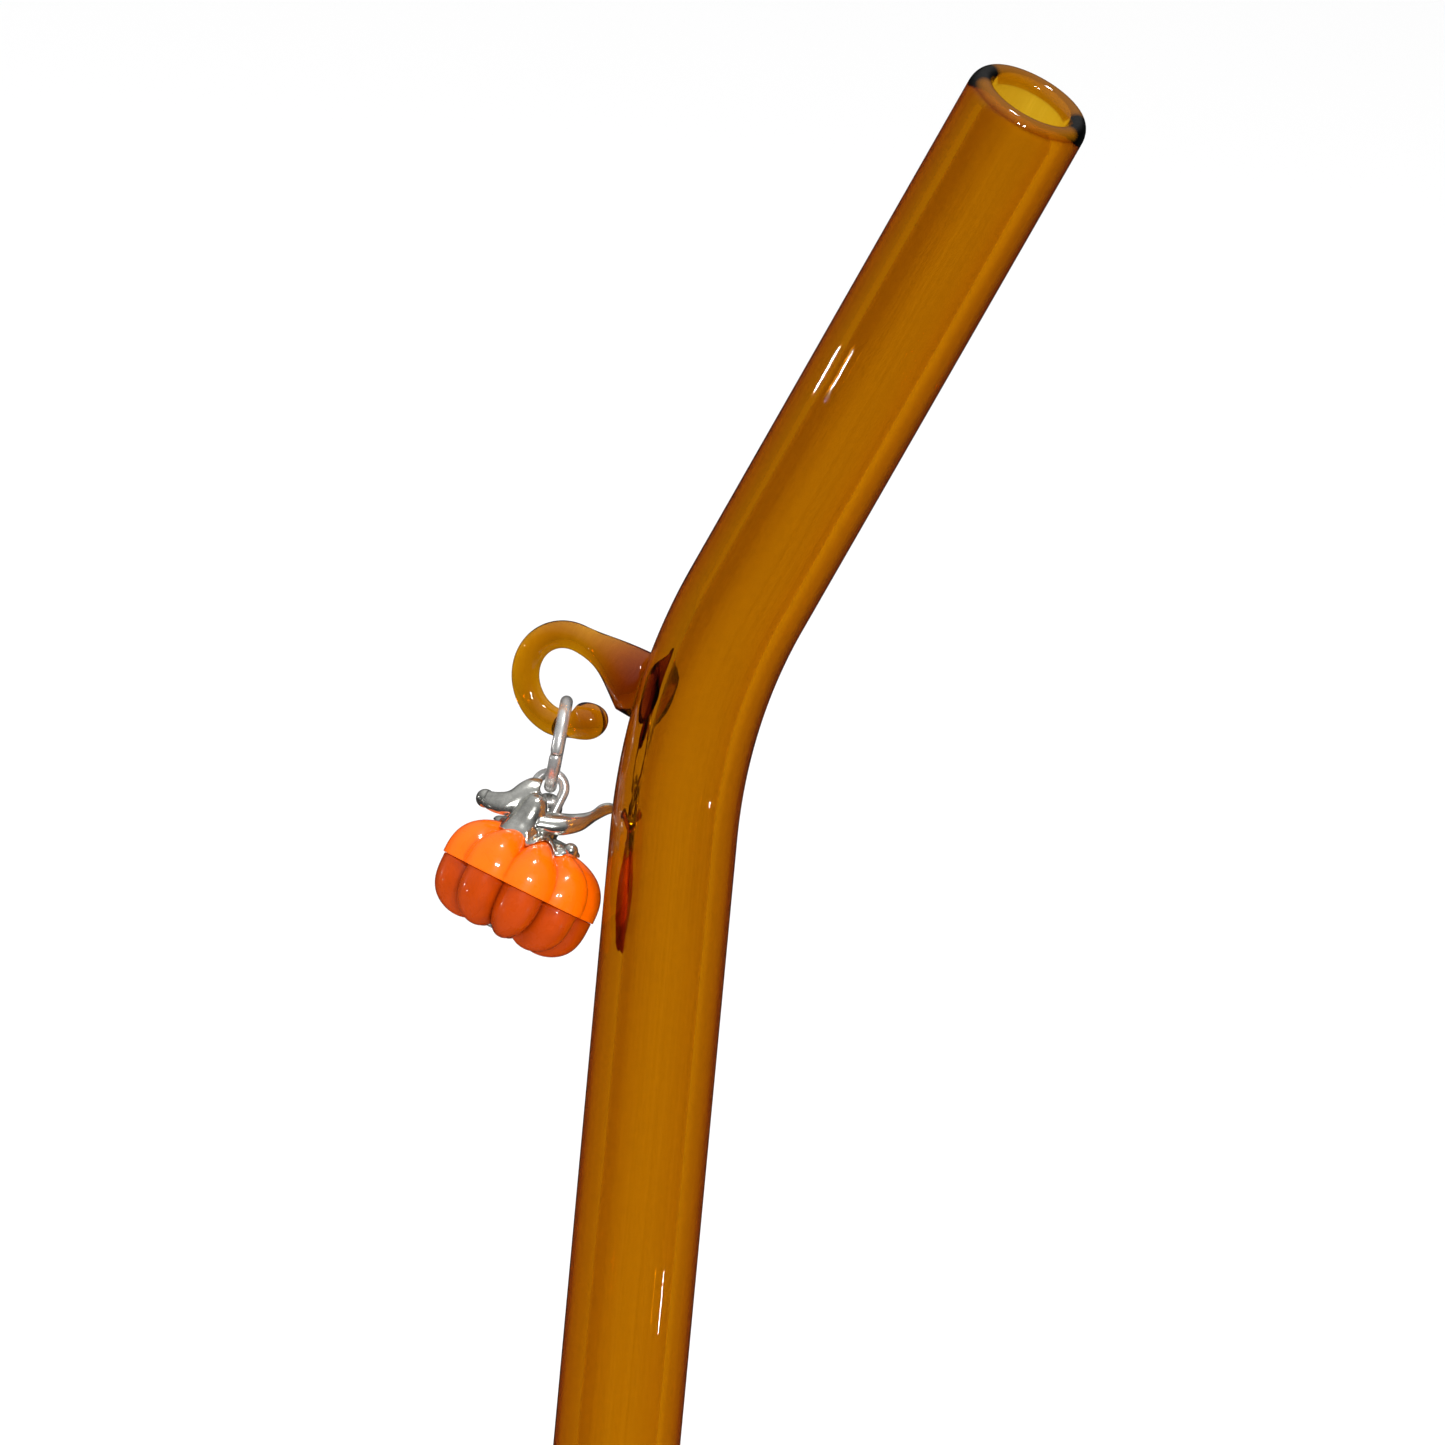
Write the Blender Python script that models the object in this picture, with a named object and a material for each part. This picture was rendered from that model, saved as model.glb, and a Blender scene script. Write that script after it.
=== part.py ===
"""Bent glass drinking straw with a fused charm hook and a hanging pumpkin charm.

Units are metres, +Z up. The lower leg of the straw stands on +Z with its lower end at the origin, the
straw bends towards +X, and the hook stands out of the bend on the -X side.
"""

from math import atan2, cos, exp, hypot, pi, radians, sin, tan

import bmesh
import bpy
from mathutils import Matrix, Vector

MM = 0.001

# Straw
TUBE_D = 8.0 * MM
TUBE_WALL = 1.5 * MM
LOWER_LEG = 153.0 * MM  # lower end to the point where the two axes cross
UPPER_ARM = 47.1 * MM  # the same point to the mouth
BEND_ANGLE = radians(24.8)
BEND_RADIUS = 38.0 * MM
RIM_OUTER_R = 0.75 * MM  # rounding of each end's outer and inner edge, with a flat ring between them
RIM_INNER_R = 0.35 * MM
TUBE_SIDES = 40
BEND_STEPS = 12
RIM_STEPS = 4

# Hook, in the plane of the bend
HOOK_ROD_D = 1.75 * MM
HOOK_CURL_R = 2.9 * MM  # centreline radius of the curl
HOOK_FOOT_D = 4.4 * MM
HOOK_FLARE = 1.7  # how quickly the foot narrows to the rod
HOOK_FOOT_RISE = 0.75 * MM  # the foot's centre on the tube, above the crossing of the axes
HOOK_FOOT_ANGLE = radians(34)  # how steeply the rod rises out of the tube
HOOK_FOOT_ROOT = 1.5 * MM  # how far the foot reaches in past the middle of the wall, before the tube cuts it
HOOK_REACH = (0.45, 0.4)  # straightness of the rod's curve at the foot and at the curl
HOOK_TIP_D = 2.2 * MM
HOOK_CURL_START = radians(76)
HOOK_CURL_END = radians(316)
HOOK_SIDES = 16
HOOK_FOOT_STEPS = 11
HOOK_CURL_STEPS = 23
HOOK_TIP_SIDES = (16, 10)
WELD_GAP = 0.3 * MM  # between the foot and the tube

# Jump ring
RING_D = 6.2 * MM
RING_WIRE = 0.8 * MM
RING_PLAY = 0.15 * MM  # between the ring's wire and the hook's rod
RING_SIDES = 10
RING_STEPS = 40

# How the chain of ring and charm hangs at rest
CHAIN_TURN = radians(25.9)  # about the straw's leg
CHAIN_TILT = radians(15.0)  # lower end towards the front
RING_LEAN = radians(5.5)  # away from the straw
CHARM_LEAN = radians(21.0)

# Eye pin, a wire whose shank runs up one side of its loop
EYE_WIRE = 0.65 * MM
EYE_TURN = radians(300)  # how far the loop closes
EYE_PLAY = 0.1 * MM  # between the eye and the ring's wire that it hangs on
EYE_SLACK = 0.4 * MM  # the eye's bore over the ring's wire
EYE_SIDES = 12
EYE_STEPS = 20
PIN_HEAD_D = 1.9 * MM
PIN_HEAD_T = 0.4 * MM
PIN_SHOULDER = 0.02 * MM  # height of the step from the head to the shank
FIT_GAP = 0.1 * MM  # between the pieces of the charm
BORE_SIDES = 16

# Pumpkin
CHARM_NECK = 3.1 * MM  # ring's lower wire to the level of the pumpkin's top
CHARM_TUCK = 0.85 * MM  # how much nearer the straw the curl's centre is than half a pumpkin
PUMPKIN_D = 10.6 * MM
PUMPKIN_H = 7.0 * MM
PUMPKIN_WALL = 0.6 * MM
RIBS = 9
RIB_SIDES = 6
RIB_POWER = 1.6  # above 1 the ribs are round and the grooves between them narrow
FIRST_GROOVE = radians(-102)  # a groove's direction about the charm's axis, from its right side
UPPER_GROOVE = 0.45 * MM
LOWER_GROOVE = 1.0 * MM
SEAM_STEP = 0.1 * MM  # the lower half stands in by this much at the seam
UPPER_POWER = 2.8  # squareness of each half's outline, where 2 is an ellipse
LOWER_POWER = 3.2
UPPER_DIMPLE = (0.5 * MM, 1.3 * MM)  # depth and radius
LOWER_DIMPLE = (1.3 * MM, 1.8 * MM)
SKIN_END = radians(82)  # how far up the outline the ribs run before the ring round the pin
SKIN_SPREAD = 1.15  # above 1 the skin's rings crowd towards the seam
OUTER_STEPS = 9
INNER_STEPS = 6

# Leaf cap
CAP_INSET = 2.25 * MM  # the pumpkin's side to the middle of the cap's wavy edge
CAP_LOBE = 0.55 * MM
CAP_SHIFT = 1.0 * MM  # the cap's centre stands this far to the left of the pumpkin's axis
CAP_RINGS = (0.2, 0.4, 0.6, 0.75, 0.88, 1.0)  # shares of the way out to its edge
FIRST_LOBE = radians(-83)  # a lobe's direction about the cap's centre, from its right side
CAP_T = 0.45 * MM
CAP_LIFT = 0.25 * MM  # the cap's underside over the pumpkin's ribs
CAP_THIN = (1.9, 1.2)  # thickness at the middle, in cap thicknesses, and how much of it goes by the edge
STEM_D = 1.65 * MM
STEM_TUCK = 0.1 * MM  # how far the stem's top passes the underside of the ring's wire
STEM_GAP = 0.15 * MM  # between the stem and the eye's wire
STEM_ROOT = 1.1  # the stem's width at its root, in stem diameters
STEM_DOME = 0.45  # rounding of the stem's top, in stem diameters
STEM_ROUND = radians(80)  # how far round the dome goes before its flat top
STEM_OFFSET = 0.2  # to the left of the shank, in stem diameters
STEM_SIDES = 16
STEM_STEPS = 4
LEAF_SIDES = 12
LEAF_STEPS = 10
LEAF_SWELL = (0.18, 0.76)  # a leaf's width follows half a sine wave from here, over this much of it
CURL_D = 1.2 * MM
CURL_SIDES = (14, 9)
# Root, middle and tip of each leaf: to the right of the pin, to the back and above the pumpkin's top
RIGHT_LEAF = ((0.6, 0, 0), (1.9, 0.3, 2.25), (3.7, 0.7, 3.8))
RIGHT_LEAF_SIZE = (1.0 * MM, 0.35 * MM)  # half width and half thickness
LEFT_LEAF = ((-1.9, 0, 0), (-2.9, 0, 2.0), (-4.25, 0, 0.65))
LEFT_LEAF_SIZE = (1.2 * MM, 0.4 * MM)


def clear_scene():
    for obj in list(bpy.data.objects):
        bpy.data.objects.remove(obj, do_unlink=True)


def material(name, colour, roughness, metallic=0.0):
    made = bpy.data.materials.new(name)
    made.use_nodes = True
    shader = made.node_tree.nodes["Principled BSDF"]
    shader.inputs["Base Color"].default_value = (*colour, 1.0)
    shader.inputs["Roughness"].default_value = roughness
    shader.inputs["Metallic"].default_value = metallic
    return made


def add_object(name, bm, finish, sharp_angle=radians(35)):
    bmesh.ops.recalc_face_normals(bm, faces=bm.faces)
    mesh = bpy.data.meshes.new(name)
    bm.to_mesh(mesh)
    bm.free()
    mesh.materials.append(finish)
    mesh.shade_smooth()
    mesh.set_sharp_from_angle(angle=sharp_angle)
    obj = bpy.data.objects.new(name, mesh)
    bpy.context.scene.collection.objects.link(obj)
    return obj


def add_empty(name, matrix):
    obj = bpy.data.objects.new(name, None)
    bpy.context.scene.collection.objects.link(obj)
    obj.empty_display_size = 2 * MM
    obj.matrix_world = matrix
    return obj


def parent_to(child, parent):
    child.parent = parent
    child.matrix_parent_inverse = Matrix.Identity(4)


def loft(bm, rings, join_ends=False, caps=False):
    """Skins a list of rings of points. Join_ends makes a closed ring of rings."""
    loops = [[bm.verts.new(point) for point in ring] for ring in rings]
    pairs = list(zip(loops, loops[1:]))
    if join_ends:
        pairs.append((loops[-1], loops[0]))
    for first, second in pairs:
        for i in range(len(first)):
            j = (i + 1) % len(first)
            bm.faces.new((first[i], first[j], second[j], second[i]))
    if caps:
        bm.faces.new(loops[0])
        bm.faces.new(loops[-1])


def circle_points(centre, side, up, radius, count):
    return [
        centre + radius * (cos(2 * pi * i / count) * side + sin(2 * pi * i / count) * up)
        for i in range(count)
    ]


def sweep(bm, stations, side, count):
    """A solid rod of changing radius. Stations are (centre, tangent, radius), side is square to them all."""
    rings = [
        circle_points(centre, side, tangent.normalized().cross(side), radius, count)
        for centre, tangent, radius in stations
    ]
    loft(bm, rings, caps=True)


def make_ball(name, finish, centre, diameter, sides):
    ball = bmesh.new()
    bmesh.ops.create_uvsphere(ball, u_segments=sides[0], v_segments=sides[1], radius=diameter / 2)
    bmesh.ops.translate(ball, verts=ball.verts, vec=centre)
    return add_object(name, ball, finish)


def boolean(obj, other, operation):
    modifier = obj.modifiers.new(operation.lower() + "_" + other.name, "BOOLEAN")
    modifier.operation = operation
    modifier.solver = "EXACT"
    modifier.object = other
    other.hide_render = True
    other.display_type = "WIRE"


# ---------------------------------------------------------------- straw


def bend_tangent():
    return BEND_RADIUS * tan(BEND_ANGLE / 2)


def straw_length():
    return LOWER_LEG + UPPER_ARM - 2 * bend_tangent() + BEND_RADIUS * BEND_ANGLE


def straw_point(s):
    """Centre and tangent of the straw's axis at the distance s from its lower end."""
    straight = LOWER_LEG - bend_tangent()
    arc = BEND_RADIUS * BEND_ANGLE
    angle = min(max(s - straight, 0) / BEND_RADIUS, BEND_ANGLE)
    tangent = Vector((sin(angle), 0, cos(angle)))
    if s <= straight:
        return Vector((0, 0, s)), tangent
    centre = Vector((BEND_RADIUS * (1 - cos(angle)), 0, straight + BEND_RADIUS * sin(angle)))
    return centre + max(s - straight - arc, 0) * tangent, tangent


def straw_stations():
    straight = LOWER_LEG - bend_tangent()
    arc = BEND_RADIUS * BEND_ANGLE
    return [straight + arc * i / BEND_STEPS for i in range(BEND_STEPS + 1)]


def straw_ring(s, radius):
    centre, tangent = straw_point(s)
    return circle_points(centre, Vector((0, 1, 0)), tangent.cross(Vector((0, 1, 0))), radius, TUBE_SIDES)


def rim_profile():
    """(distance in from the end, radius) round one end's wall, from the outside to the bore."""
    outer = TUBE_D / 2
    inner = outer - TUBE_WALL
    turns = [pi / 2 * i / RIM_STEPS for i in range(RIM_STEPS + 1)]
    profile = [(RIM_OUTER_R * (1 - sin(a)), outer - RIM_OUTER_R * (1 - cos(a))) for a in turns]
    profile += [(RIM_INNER_R * (1 - cos(a)), inner + RIM_INNER_R * (1 - sin(a))) for a in turns]
    return profile


def make_straw(finish):
    outer = TUBE_D / 2
    inner = outer - TUBE_WALL
    length = straw_length()
    rim = rim_profile()
    rings = [straw_ring(s, outer) for s in straw_stations()]
    rings += [straw_ring(length - depth, radius) for depth, radius in rim]
    rings += [straw_ring(s, inner) for s in reversed(straw_stations())]
    rings += [straw_ring(depth, radius) for depth, radius in reversed(rim)]
    bm = bmesh.new()
    loft(bm, rings, join_ends=True)
    return add_object("straw_tube", bm, finish)


# ----------------------------------------------------------------- hook


def hook_standoff():
    """The tube's surface to the curl's centre, wide enough for the pumpkin to hang clear of the tube."""
    return PUMPKIN_D / 2 - CHARM_TUCK


def hook_centre():
    return Vector((-TUBE_D / 2 - hook_standoff(), 0, LOWER_LEG))


def hook_arc_point(angle):
    outward = Vector((cos(angle), 0, sin(angle)))
    tangent = Vector((-sin(angle), 0, cos(angle)))
    return hook_centre() + HOOK_CURL_R * outward, tangent


def hook_stations():
    """The rod from inside the tube's wall, through the flared foot and round the curl to the swollen tip."""
    rod = HOOK_ROD_D / 2
    start = Vector((-TUBE_D / 2 + TUBE_WALL / 2, 0, LOWER_LEG + HOOK_FOOT_RISE))
    join, join_tangent = hook_arc_point(HOOK_CURL_START)
    reach = (join - start).length
    lift = Vector((-cos(HOOK_FOOT_ANGLE), 0, sin(HOOK_FOOT_ANGLE)))
    first = start + lift * reach * HOOK_REACH[0]
    second = join - join_tangent * reach * HOOK_REACH[1]
    stations = [(start - lift * HOOK_FOOT_ROOT, lift, HOOK_FOOT_D / 2)]
    for i in range(HOOK_FOOT_STEPS):
        t = i / HOOK_FOOT_STEPS
        u = 1 - t
        centre = u**3 * start + 3 * u * u * t * first + 3 * u * t * t * second + t**3 * join
        tangent = u * u * (first - start) + 2 * u * t * (second - first) + t * t * (join - second)
        flare = (HOOK_FOOT_D / 2 - rod) * (1 - t) ** HOOK_FLARE
        stations.append((centre, tangent, rod + flare))
    for i in range(HOOK_CURL_STEPS + 1):
        t = i / HOOK_CURL_STEPS
        centre, tangent = hook_arc_point(HOOK_CURL_START + t * (HOOK_CURL_END - HOOK_CURL_START))
        stations.append((centre, tangent, rod))
    return stations


def make_hook(finish):
    bm = bmesh.new()
    sweep(bm, hook_stations(), Vector((0, 1, 0)), HOOK_SIDES)
    hook = add_object("charm_hook", bm, finish, radians(60))

    tip_centre = hook_arc_point(HOOK_CURL_END)[0]
    boolean(hook, make_ball("hook_tip_ball", finish, tip_centre, HOOK_TIP_D, HOOK_TIP_SIDES), "UNION")

    clear = bmesh.new()
    rings = [straw_ring(s, TUBE_D / 2 + WELD_GAP) for s in straw_stations()]
    loft(clear, rings, caps=True)
    boolean(hook, add_object("hook_foot_cutter", clear, finish), "DIFFERENCE")
    return hook


# ---------------------------------------------------------- chain frames


def ring_matrix():
    """Origin on the hook's rod at the bottom of the curl, X along the ring's own axis, Z up the ring."""
    place = hook_centre() - Vector((0, 0, HOOK_CURL_R))
    turn = Matrix.Rotation(CHAIN_TURN, 4, "Z") @ Matrix.Rotation(-CHAIN_TILT, 4, "X")
    return Matrix.Translation(place) @ turn @ Matrix.Rotation(RING_LEAN, 4, "Y")


def ring_mean_r():
    return (RING_D - RING_WIRE) / 2


def ring_top():
    """Height of the ring's upper wire over the rod that it hangs on."""
    return HOOK_ROD_D / 2 + RING_PLAY + RING_WIRE / 2


def charm_matrix():
    """Origin on the ring's lower wire, Y along that wire, Z up the charm's own axis."""
    down = Matrix.Translation((0, 0, ring_top() - 2 * ring_mean_r()))
    return ring_matrix() @ down @ Matrix.Rotation(CHARM_LEAN - RING_LEAN, 4, "Y")


def make_jump_ring(finish):
    bm = bmesh.new()
    rings = []
    centre = Vector((0, 0, ring_top() - ring_mean_r()))
    for i in range(RING_STEPS):
        angle = 2 * pi * i / RING_STEPS
        outward = Vector((0, cos(angle), sin(angle)))
        middle = centre + ring_mean_r() * outward
        rings.append(circle_points(middle, outward, Vector((1, 0, 0)), RING_WIRE / 2, RING_SIDES))
    loft(bm, rings, join_ends=True)
    return add_object("jump_ring", bm, finish, radians(60))


# ---------------------------------------------------------------- charm


def eye_bore():
    return RING_WIRE + EYE_SLACK


def eye_r():
    """Centreline radius of the eye's loop, which is also how far the shank stands to its side."""
    return (eye_bore() + EYE_WIRE) / 2


def charm_drop():
    """Ring's lower wire to the pumpkin's centre, along the pumpkin's axis."""
    return CHARM_NECK + PUMPKIN_H / 2


def over_pumpkin(across, back, height):
    """A point of the charm, from its place about the pumpkin's centre."""
    return Vector((eye_r() + across, back, height - charm_drop()))


def rib_scale(angle, groove):
    """1 on a rib's crest, less in the grooves between the ribs."""
    wave = abs(sin(RIBS / 2 * (angle - FIRST_GROOVE)))
    return 1 - groove / (PUMPKIN_D / 2) * (1 - wave) ** RIB_POWER


def dimple(rho, shape):
    depth, radius = shape
    return depth * exp(-((rho / radius) ** 2))


def height_on_top(rho, angle):
    """Height of the upper half's skin over the pumpkin's centre."""
    edge = min(rho / (PUMPKIN_D / 2 * rib_scale(angle, UPPER_GROOVE)), 1)
    height = PUMPKIN_H / 2 * (1 - edge**UPPER_POWER) ** (1 / UPPER_POWER)
    return height - dimple(rho, UPPER_DIMPLE)


def pin_hole_r():
    return EYE_WIRE / 2 + FIT_GAP


def rib_angles():
    count = RIBS * RIB_SIDES
    return [FIRST_GROOVE + 2 * pi * i / count for i in range(count)]


def half_skin(groove, radius, half_height, power, hollow, steps):
    """Rings of (angle, distance from the axis, height) from the seam to the pin's hole."""
    rings = []
    for k in range(steps + 1):
        tilt = SKIN_END * (k / steps) ** SKIN_SPREAD
        ring = []
        for angle in rib_angles():
            rho = radius * cos(tilt) ** (2 / power) * rib_scale(angle, groove)
            height = half_height * sin(tilt) ** (2 / power) - dimple(rho, hollow)
            ring.append((angle, rho, max(height, 0)))
        rings.append(ring)
    pole = half_height - dimple(pin_hole_r(), hollow)
    rings.append([(angle, pin_hole_r(), pole) for angle in rib_angles()])
    return rings


def make_half(name, finish, groove, step_in, power, hollow, facing):
    """One hollow half of the pumpkin, open at the seam and pierced for the pin. Facing is 1 up or -1 down."""
    radius = PUMPKIN_D / 2 - step_in
    height = PUMPKIN_H / 2
    outer = half_skin(groove, radius, height, power, hollow, OUTER_STEPS)
    inner = half_skin(groove, radius - PUMPKIN_WALL, height - PUMPKIN_WALL, power, hollow, INNER_STEPS)
    rings = []
    for ring in outer + list(reversed(inner)):
        rings.append(
            [
                over_pumpkin(rho * cos(angle), rho * sin(angle), facing * (rise + FIT_GAP / 2))
                for angle, rho, rise in ring
            ]
        )
    bm = bmesh.new()
    loft(bm, rings, join_ends=True)
    return add_object(name, bm, finish, radians(50))


def make_eye_pin(finish):
    """The head under the pumpkin, the shank through it and the loop that the ring passes through."""
    wire = EYE_WIRE / 2
    eye_height = RING_WIRE / 2 + EYE_PLAY - eye_bore() / 2
    head_r = PIN_HEAD_D / 2
    skin = -PUMPKIN_H / 2 + dimple(head_r, LOWER_DIMPLE)
    head_top = over_pumpkin(0, 0, skin - 2 * FIT_GAP).z
    up = Vector((0, 0, 1))
    stations = [
        (Vector((eye_r(), 0, head_top - PIN_HEAD_T)), up, head_r),
        (Vector((eye_r(), 0, head_top)), up, head_r),
        (Vector((eye_r(), 0, head_top + PIN_SHOULDER)), up, wire),
    ]
    for i in range(EYE_STEPS + 1):
        angle = EYE_TURN * i / EYE_STEPS
        centre = Vector((eye_r() * cos(angle), 0, eye_height + eye_r() * sin(angle)))
        stations.append((centre, Vector((-sin(angle), 0, cos(angle))), wire))
    bm = bmesh.new()
    sweep(bm, stations, Vector((0, 1, 0)), EYE_SIDES)
    return add_object("eye_pin", bm, finish, radians(50))


def cap_edge(angle):
    return PUMPKIN_D / 2 - CAP_INSET + CAP_LOBE * cos(RIBS * (angle - FIRST_LOBE))


def cap_point(rho, angle, rise):
    """A point at a height over the pumpkin's skin, from its place about the cap's own centre."""
    across = rho * cos(angle) - CAP_SHIFT
    back = rho * sin(angle)
    height = height_on_top(hypot(across, back), atan2(back, across))
    return over_pumpkin(across, back, height + rise)


def make_calyx(finish):
    """The wavy skirt that follows the pumpkin's top."""
    lower = []
    upper = []
    middle, loss = CAP_THIN
    for share in CAP_RINGS:
        edges = [(cap_edge(angle) * share, angle) for angle in rib_angles()]
        high = CAP_LIFT + CAP_T * (middle - loss * share)
        lower.append([cap_point(rho, angle, CAP_LIFT) for rho, angle in edges])
        upper.append([cap_point(rho, angle, high) for rho, angle in edges])
    bm = bmesh.new()
    loft(bm, lower + list(reversed(upper)), caps=True)
    return add_object("leaf_cap", bm, finish, radians(50))


def leaf_points(place):
    """Root, middle and tip of a leaf in the charm's frame."""
    return [over_pumpkin(x * MM, y * MM, PUMPKIN_H / 2 + z * MM) for x, y, z in place]


def leaf_stations(root, middle, tip, half_width, half_thickness):
    """Centres along a curve through three points, with the leaf's tangent, half width and half thickness."""
    stations = []
    for i in range(LEAF_STEPS + 1):
        t = i / LEAF_STEPS
        u = 1 - t
        bend = 2 * middle - (root + tip) / 2
        centre = u * u * root + 2 * u * t * bend + t * t * tip
        tangent = u * (bend - root) + t * (tip - bend)
        swell = sin(pi * (LEAF_SWELL[0] + LEAF_SWELL[1] * t))
        depth = half_thickness * (0.5 + 0.5 * swell)
        stations.append((centre, tangent.normalized(), half_width * swell, depth))
    return stations


def make_leaf(name, finish, place, size):
    across = Vector((0, 1, 0))
    turns = [2 * pi * i / LEAF_SIDES for i in range(LEAF_SIDES)]
    rings = []
    for centre, tangent, width, depth in leaf_stations(*leaf_points(place), *size):
        up = tangent.cross(across)
        rings.append([centre + width * cos(turn) * across + depth * sin(turn) * up for turn in turns])
    bm = bmesh.new()
    loft(bm, rings, caps=True)
    return add_object(name, bm, finish, radians(50))


def make_stem(finish):
    """The cut stalk of the pumpkin, standing in front of the eye and to its left."""
    stem_r = STEM_D / 2
    round_r = STEM_DOME * STEM_D
    back = -(EYE_WIRE / 2 + STEM_GAP + stem_r)
    foot = over_pumpkin(0, 0, height_on_top(0, 0) + CAP_T).z
    shoulder = STEM_TUCK - RING_WIRE / 2 - round_r
    profile = [(foot, stem_r * STEM_ROOT)]
    for i in range(STEM_STEPS + 1):
        angle = STEM_ROUND * i / STEM_STEPS
        profile.append((shoulder + round_r * sin(angle), stem_r - round_r * (1 - cos(angle))))
    side = Vector((1, 0, 0))
    rings = [
        circle_points(Vector((-STEM_OFFSET * STEM_D, back, z)), side, Vector((0, 1, 0)), radius, STEM_SIDES)
        for z, radius in profile
    ]
    bm = bmesh.new()
    loft(bm, rings, caps=True)
    return add_object("cap_stem", bm, finish)


def make_pin_bore(finish):
    bore = bmesh.new()
    radius = pin_hole_r()
    depth = 2 * charm_drop()
    bmesh.ops.create_cone(
        bore, cap_ends=True, segments=BORE_SIDES, radius1=radius, radius2=radius, depth=depth
    )
    bmesh.ops.translate(bore, verts=bore.verts, vec=over_pumpkin(0, 0, 0))
    return add_object("cap_pin_bore", bore, finish)


def make_leaf_cap(finish):
    cap = make_calyx(finish)
    boolean(cap, make_stem(finish), "UNION")
    boolean(cap, make_leaf("cap_right_leaf", finish, RIGHT_LEAF, RIGHT_LEAF_SIZE), "UNION")
    boolean(cap, make_leaf("cap_left_leaf", finish, LEFT_LEAF, LEFT_LEAF_SIZE), "UNION")
    curl = leaf_points(LEFT_LEAF)[-1]
    boolean(cap, make_ball("cap_curled_tip", finish, curl, CURL_D, CURL_SIDES), "UNION")
    boolean(cap, make_pin_bore(finish), "DIFFERENCE")
    return cap


def main():
    clear_scene()
    amber = material("amber_glass", (0.42, 0.20, 0.01), 0.03)
    silver = material("silver", (0.72, 0.71, 0.68), 0.16, 1.0)
    enamel = material("orange_enamel", (0.90, 0.16, 0.005), 0.10)

    make_straw(amber)
    make_hook(amber)

    ring_frame = add_empty("ring_hinge", ring_matrix())
    parent_to(make_jump_ring(silver), ring_frame)

    charm_frame = add_empty("charm_hinge", charm_matrix())
    before = set(bpy.data.objects)
    make_eye_pin(silver)
    make_leaf_cap(silver)
    make_half("pumpkin_upper_shell", enamel, UPPER_GROOVE, 0, UPPER_POWER, UPPER_DIMPLE, 1)
    make_half("pumpkin_lower_shell", enamel, LOWER_GROOVE, SEAM_STEP, LOWER_POWER, LOWER_DIMPLE, -1)
    for piece in set(bpy.data.objects) - before:
        parent_to(piece, charm_frame)


main()
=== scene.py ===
"""Looks of the bent amber glass drinking straw with its fused hook, jump ring and pumpkin charm.

Sizes are in millimetres until a mesh is written, which is in metres. The straw's lower leg stands on +Z with
its end at the origin, the straw bends towards +X, and the hook stands out on the -X side.
"""

from math import atan2, cos, exp, hypot, pi, radians, sin, tan

import bmesh
import bpy
from mathutils import Matrix, Vector


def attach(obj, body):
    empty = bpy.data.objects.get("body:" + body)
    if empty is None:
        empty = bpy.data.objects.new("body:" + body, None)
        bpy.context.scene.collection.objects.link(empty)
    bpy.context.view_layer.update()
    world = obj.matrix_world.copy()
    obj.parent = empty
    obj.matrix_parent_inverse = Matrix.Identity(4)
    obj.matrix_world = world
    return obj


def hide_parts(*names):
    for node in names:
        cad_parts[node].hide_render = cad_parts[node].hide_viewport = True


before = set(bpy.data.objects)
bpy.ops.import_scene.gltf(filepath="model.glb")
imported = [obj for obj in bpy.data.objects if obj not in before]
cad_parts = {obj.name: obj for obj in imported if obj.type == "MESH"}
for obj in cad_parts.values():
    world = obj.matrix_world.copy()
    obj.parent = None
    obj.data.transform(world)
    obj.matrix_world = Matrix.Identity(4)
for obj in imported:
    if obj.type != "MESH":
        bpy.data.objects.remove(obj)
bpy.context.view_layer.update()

MM = 0.001

# ---- sizes shared with the CAD
TUBE_R = 4.0
BORE_R = 2.5
LOWER_LEG = 153.0
BEND_ANGLE = radians(24.8)
BEND_RADIUS = 38.0
ROD_R = 0.875
CURL_R = 2.9
STANDOFF = 4.45  # from the tube's skin to the curl's centre
FOOT_R = 2.2
FOOT_RISE = 0.75
FOOT_ANGLE = radians(34)
FOOT_ROOT = 1.5  # how far the foot's root runs on into the tube
FOOT_FLARE = 1.7  # how quickly the foot narrows to the rod
HOOK_REACH = (0.45, 0.4)  # straightness of the rod's curve at the foot and at the curl
CURL_START = radians(76)
CURL_END = radians(316)
RING_R = 2.7
RING_WIRE_R = 0.4
RING_PLAY = 0.15
CHAIN_TURN = radians(25.9)
CHAIN_TILT = radians(15.0)
RING_LEAN = radians(5.5)
CHARM_LEAN = radians(21.0)
EYE_WIRE_R = 0.325
EYE_R = 0.925
EYE_PLAY = 0.1
CHARM_DROP = 6.6
PIN_GAP = 0.1  # round the shank, where it passes through the shells
PUMPKIN_R = 5.3
PUMPKIN_HALF_H = 3.5
SHELL_WALL = 0.6
RIBS = 9
FIRST_GROOVE = radians(-102)
SEAM_STEP = 0.1  # the lower half stands in by this much at the seam
UPPER_POWER = 2.8  # squareness of each half's outline, where 2 is an ellipse
LOWER_POWER = 3.2
UPPER_DIMPLE = (0.5, 1.3)  # depth and radius
LOWER_DIMPLE = (1.3, 1.8)
FIRST_LOBE = radians(-83)

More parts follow.
